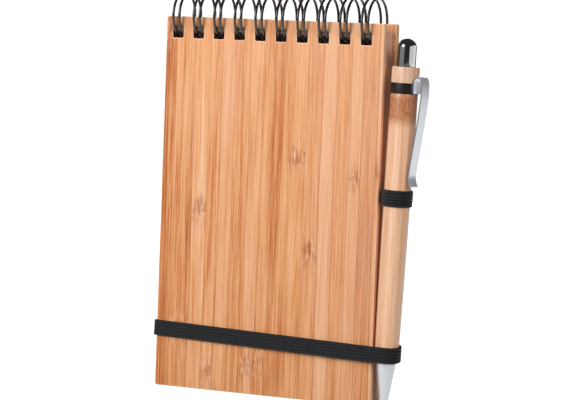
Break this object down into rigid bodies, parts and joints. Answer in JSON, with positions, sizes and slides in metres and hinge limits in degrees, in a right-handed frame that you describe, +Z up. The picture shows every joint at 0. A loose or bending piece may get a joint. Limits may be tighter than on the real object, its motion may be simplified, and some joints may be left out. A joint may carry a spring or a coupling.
{
  "type": "pocket notebook",
  "caption": "Top-bound pocket notepad with bamboo covers, a twin-loop wire binding and an elastic closure band that also holds a bamboo click pen at its side.",
  "frame": {"origin": "middle of the back cover's bottom edge, on the board's centre plane", "axes": "+Z up along the covers to the wire binding, -Y out of the front cover, +X to the side that holds the pen"},
  "size_m": [0.1061, 0.0186, 0.1482],
  "materials": {
    "bamboo_board": "satin laminated bamboo",
    "pen_bamboo": "satin turned bamboo",
    "paper": "matte cream",
    "black_wire": "gloss",
    "black_elastic": "ribbed matte",
    "staple_steel": "bright",
    "satin_steel": "satin",
    "spring_steel": "bright",
    "black_gloss": "gloss",
    "clear_plastic": "milky",
    "white_plastic": "matte",
    "brass": "bright",
    "ink": "dark blue"
  },
  "bodies": {
    "notepad": {"back_cover": "bamboo_board", "page_block": "paper", "wire_binding": "black_wire", "closure_band": "black_elastic", "band_staples": "staple_steel", "pen_loop": "black_elastic", "pen_loop_staple": "staple_steel"},
    "front_cover": {"front_cover": "bamboo_board"},
    "turned_leaves": {"turned_leaves": "paper"},
    "band_front": {"closure_band_front": "black_elastic"},
    "pen": {"pen_barrel": "pen_bamboo", "pen_collar": "pen_bamboo", "clip_ring": "black_gloss", "clip_foot": "satin_steel", "mechanism_tube": "clear_plastic", "thread_bush": "brass", "nose_cone": "satin_steel", "return_spring": "spring_steel"},
    "clip": {"pocket_clip": "satin_steel"},
    "button": {"push_button": "black_gloss"},
    "refill": {"cam_rotor": "white_plastic", "refill_tube": "clear_plastic", "refill_tip": "brass", "writing_ball": "spring_steel", "ink_column": "ink"}
  },
  "joints": [
    {"name": "cover_flip", "type": "hinge", "parent": "notepad", "child": "front_cover", "pos_m": [0, -0.0057, 0.1389], "axis": [-1, 0, 0], "range_deg": [0, 180], "deforming": ["closure_band", "closure_band_front"]},
    {"name": "leaves_turn", "type": "hinge", "parent": "notepad", "child": "turned_leaves", "pos_m": [0, -0.0057, 0.1389], "axis": [-1, 0, 0], "range_deg": [0, 173]},
    {"name": "band_close_in", "type": "hinge", "parent": "notepad", "child": "band_front", "pos_m": [0.04857, -0.01394, 0.01933], "axis": [-0.0262, 0, -0.9997], "range_deg": [0, 2.06]},
    {"name": "pen_pull", "type": "slide", "parent": "notepad", "child": "pen", "axis": [0.0288, 0, 0.9996], "range_m": [0, 0.085]},
    {"name": "clip_flex", "type": "hinge", "parent": "pen", "child": "clip", "pos_m": [0.05844, -0.01126, 0.11985], "axis": [-0.2587, -0.9659, 0.0075], "range_deg": [0, 8], "stiffness_Nm_per_rad": 0.3},
    {"name": "button_press", "type": "slide", "parent": "pen", "child": "button", "axis": [-0.0288, 0, -0.9996], "range_m": [0, 0.0045], "stiffness_N_per_m": 350},
    {"name": "refill_feed", "type": "slide", "parent": "pen", "child": "refill", "axis": [-0.0288, 0, -0.9996], "range_m": [0, 0.0045], "deforming": ["return_spring"]}
  ],
  "couplings": [
    {"joint": "leaves_turn", "follows": "cover_flip", "ratio": 0.96},
    {"joint": "band_close_in", "follows": "cover_flip", "ratio": 0.011389},
    {"joint": "refill_feed", "follows": "button_press", "ratio": 1}
  ]
}
